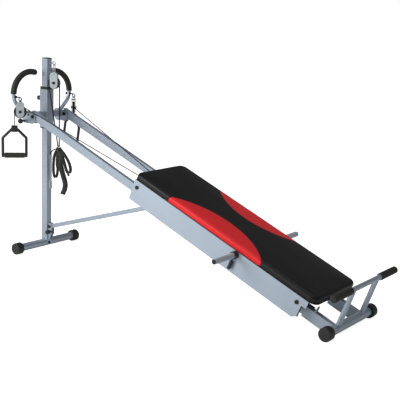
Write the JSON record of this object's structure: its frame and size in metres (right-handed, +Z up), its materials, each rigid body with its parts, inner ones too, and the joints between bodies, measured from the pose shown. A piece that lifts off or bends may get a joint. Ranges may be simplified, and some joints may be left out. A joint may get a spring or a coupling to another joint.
{
  "type": "multi station home gym",
  "caption": "Inclined glide board home gym: column with sliding sleeve, curved handlebars, cable pulleys, padded rolling carriage, weight pegs and squat stand.",
  "frame": {"origin": "middle of the machine's footprint, on the floor", "axes": "+X from the column to the front foot, +Y across to the far side, +Z up"},
  "size_m": [2.5029, 0.824, 1.264],
  "materials": {
    "frame_paint": "silver blue powder coat",
    "panel_paint": "silver blue powder coat",
    "zinc": "zinc plated",
    "pulley_zinc": "zinc plated sheet",
    "dark_bolts": "black oxide",
    "peg_steel": "satin steel",
    "black_plastic": "moulded nylon",
    "black_rubber": "moulded rubber",
    "foam": "closed cell foam",
    "roller_plastic": "hard polyurethane",
    "pad_vinyl": "black vinyl",
    "cable_black": "coated steel cable",
    "webbing": "woven nylon"
  },
  "bodies": {
    "stand": {"column": "frame_paint", "column_cap": "black_plastic", "rear_foot": "frame_paint", "rear_foot_caps": "black_rubber", "lower_bracket": "frame_paint", "lower_bolts": "dark_bolts", "top_eye_bolt": "zinc"},
    "brace_lock": {"brace_lock_knob": "black_plastic"},
    "brace": {"brace_bar": "frame_paint"},
    "sleeve": {"sleeve": "frame_paint", "sleeve_bushes": "black_plastic", "cross_beam": "frame_paint", "hinge_brackets": "frame_paint", "hinge_bolts": "dark_bolts", "handlebars": "frame_paint", "handlebar_foam": "foam", "bar_hooks": "zinc"},
    "hinge_lock": {"hinge_lock_knob": "black_plastic"},
    "height_lock": {"height_lock_knob": "black_plastic"},
    "rails": {"near_rail": "frame_paint", "far_rail": "frame_paint", "mid_crossbar": "frame_paint", "rail_shoes": "frame_paint", "front_foot": "frame_paint", "front_foot_caps": "black_rubber", "squat_stand": "frame_paint", "stand_grips": "foam", "stop_brackets": "zinc", "stop_bumpers": "black_rubber", "pull_cable": "cable_black"},
    "carriage": {"carriage_shell": "panel_paint", "end_strips": "black_rubber", "pad_board": "black_plastic", "glide_pad": "pad_vinyl", "carriage_axles": "dark_bolts", "peg_socket": "zinc", "peg_mouths": "black_plastic", "cable_yoke": "panel_paint"},
    "near_head_wheel": {"near_head_roller": "roller_plastic"},
    "far_head_wheel": {"far_head_roller": "roller_plastic"},
    "near_foot_wheel": {"near_foot_roller": "roller_plastic"},
    "far_foot_wheel": {"far_foot_roller": "roller_plastic"},
    "cable_wheel": {"carriage_sheave": "black_plastic"},
    "near_weight_peg": {"near_peg": "peg_steel"},
    "far_weight_peg": {"far_peg": "peg_steel"},
    "near_clamp": {"near_peg_clamp": "black_plastic"},
    "far_clamp": {"far_peg_clamp": "black_plastic"},
    "near_hanger": {"near_block": "pulley_zinc"},
    "far_hanger": {"far_block": "pulley_zinc"},
    "near_wheel": {"near_sheave": "black_plastic"},
    "far_wheel": {"far_sheave": "black_plastic"},
    "near_stirrup": {"near_handle": "black_plastic"},
    "far_stirrup": {"far_handle": "black_plastic"},
    "near_turner": {"near_grip": "foam"},
    "far_turner": {"far_grip": "foam"},
    "top_hanger": {"top_block": "pulley_zinc", "top_rope": "cable_black", "strap_set": "webbing", "strap_chain": "zinc"},
    "top_wheel": {"top_sheave": "black_plastic"}
  },
  "joints": [
    {"name": "sleeve_slide", "type": "slide", "parent": "stand", "child": "sleeve", "axis": [0, 0, 1], "range_m": [-0.3, 0]},
    {"name": "rails_hinge", "type": "hinge", "parent": "sleeve", "child": "rails", "pos_m": [-1.08225, 0, 0.8967], "axis": [0, 1, 0], "range_deg": [-8, 0]},
    {"name": "brace_hinge", "type": "hinge", "parent": "stand", "child": "brace", "pos_m": [-1.08049, 0, 0.151], "axis": [0, 1, 0], "range_deg": [0, 9.5]},
    {"name": "brace_lock_pull", "type": "slide", "parent": "stand", "child": "brace_lock", "axis": [0, -1, 0], "range_m": [0, 0.01], "stiffness_N_per_m": 800, "springref_m": -0.006},
    {"name": "hinge_lock_pull", "type": "slide", "parent": "sleeve", "child": "hinge_lock", "axis": [0, -1, 0], "range_m": [0, 0.01], "stiffness_N_per_m": 800, "springref_m": -0.006},
    {"name": "height_lock_pull", "type": "slide", "parent": "sleeve", "child": "height_lock", "axis": [-1, 0, 0], "range_m": [0, 0.01], "stiffness_N_per_m": 800, "springref_m": -0.006},
    {"name": "carriage_slide", "type": "slide", "parent": "rails", "child": "carriage", "axis": [-0.9304, 0, 0.3665], "range_m": [0, 0.7], "deforming": ["pull_cable"]},
    {"name": "near_head_roll", "type": "hinge", "parent": "carriage", "child": "near_head_wheel", "pos_m": [-0.13802, -0.1385, 0.58709], "axis": [0, 1, 0], "continuous": true},
    {"name": "near_foot_roll", "type": "hinge", "parent": "carriage", "child": "near_foot_wheel", "pos_m": [0.95988, -0.1385, 0.15462], "axis": [0, 1, 0], "continuous": true},
    {"name": "far_head_roll", "type": "hinge", "parent": "carriage", "child": "far_head_wheel", "pos_m": [-0.13802, 0.1385, 0.58709], "axis": [0, 1, 0], "continuous": true},
    {"name": "far_foot_roll", "type": "hinge", "parent": "carriage", "child": "far_foot_wheel", "pos_m": [0.95988, 0.1385, 0.15462], "axis": [0, 1, 0], "continuous": true},
    {"name": "cable_wheel_spin", "type": "hinge", "parent": "carriage", "child": "cable_wheel", "pos_m": [-0.1169, 0, 0.56158], "axis": [0.3665, 0, 0.9304], "continuous": true},
    {"name": "near_peg_slide", "type": "slide", "parent": "carriage", "child": "near_weight_peg", "axis": [0, 1, 0], "range_m": [0, 0.165]},
    {"name": "far_peg_slide", "type": "slide", "parent": "carriage", "child": "far_weight_peg", "axis": [0, -1, 0], "range_m": [0, 0.165]},
    {"name": "near_clamp_turn", "type": "slide", "parent": "carriage", "child": "near_clamp", "axis": [-0.3665, 0, -0.9304], "range_m": [0, 0.008], "stiffness_N_per_m": 800, "springref_m": -0.006},
    {"name": "far_clamp_turn", "type": "slide", "parent": "carriage", "child": "far_clamp", "axis": [-0.3665, 0, -0.9304], "range_m": [0, 0.008], "stiffness_N_per_m": 800, "springref_m": -0.006},
    {"name": "near_block_swing", "type": "hinge", "parent": "sleeve", "child": "near_hanger", "pos_m": [-1.11149, -0.235, 0.99625], "axis": [1, 0, 0], "range_deg": [-8, 8]},
    {"name": "near_sheave_spin", "type": "hinge", "parent": "near_hanger", "child": "near_wheel", "pos_m": [-1.11149, -0.235, 0.93], "axis": [0.7071, -0.7071, 0], "continuous": true},
    {"name": "near_handle_swing", "type": "hinge", "parent": "near_hanger", "child": "near_stirrup", "pos_m": [-1.13695, -0.26046, 0.842], "axis": [0.6561, 0.7547, 0], "range_deg": [-20, 20]},
    {"name": "near_grip_spin", "type": "hinge", "parent": "near_stirrup", "child": "near_turner", "pos_m": [-1.13695, -0.26046, 0.652], "axis": [0.6561, 0.7547, 0], "continuous": true},
    {"name": "far_block_swing", "type": "hinge", "parent": "sleeve", "child": "far_hanger", "pos_m": [-1.11149, 0.235, 0.99625], "axis": [1, 0, 0], "range_deg": [-8, 8]},
    {"name": "far_sheave_spin", "type": "hinge", "parent": "far_hanger", "child": "far_wheel", "pos_m": [-1.11149, 0.235, 0.93], "axis": [-0.7071, -0.7071, 0], "continuous": true},
    {"name": "far_handle_swing", "type": "hinge", "parent": "far_hanger", "child": "far_stirrup", "pos_m": [-1.13695, 0.26046, 0.884], "axis": [0.9811, -0.0858, -0.1736], "range_deg": [-20, 20]},
    {"name": "far_grip_spin", "type": "hinge", "parent": "far_stirrup", "child": "far_turner", "pos_m": [-1.16982, 0.26333, 0.69689], "axis": [0.9811, -0.0858, -0.1736], "continuous": true},
    {"name": "top_swing", "type": "hinge", "parent": "stand", "child": "top_hanger", "pos_m": [-1.0535, 0, 1.232], "axis": [0, 1, 0], "range_deg": [-20, 0]},
    {"name": "top_sheave_spin", "type": "hinge", "parent": "top_hanger", "child": "top_wheel", "pos_m": [-1.0535, 0, 1.107], "axis": [0.515, -0.8572, 0], "continuous": true}
  ],
  "couplings": [
    {"joint": "rails_hinge", "follows": "sleeve_slide", "rad_per_m": 0.4375},
    {"joint": "brace_hinge", "follows": "sleeve_slide", "rad_per_m": -0.5358},
    {"joint": "near_head_roll", "follows": "carriage_slide", "rad_per_m": -36.1},
    {"joint": "near_foot_roll", "follows": "carriage_slide", "rad_per_m": -36.1},
    {"joint": "far_head_roll", "follows": "carriage_slide", "rad_per_m": -36.1},
    {"joint": "far_foot_roll", "follows": "carriage_slide", "rad_per_m": -36.1}
  ]
}
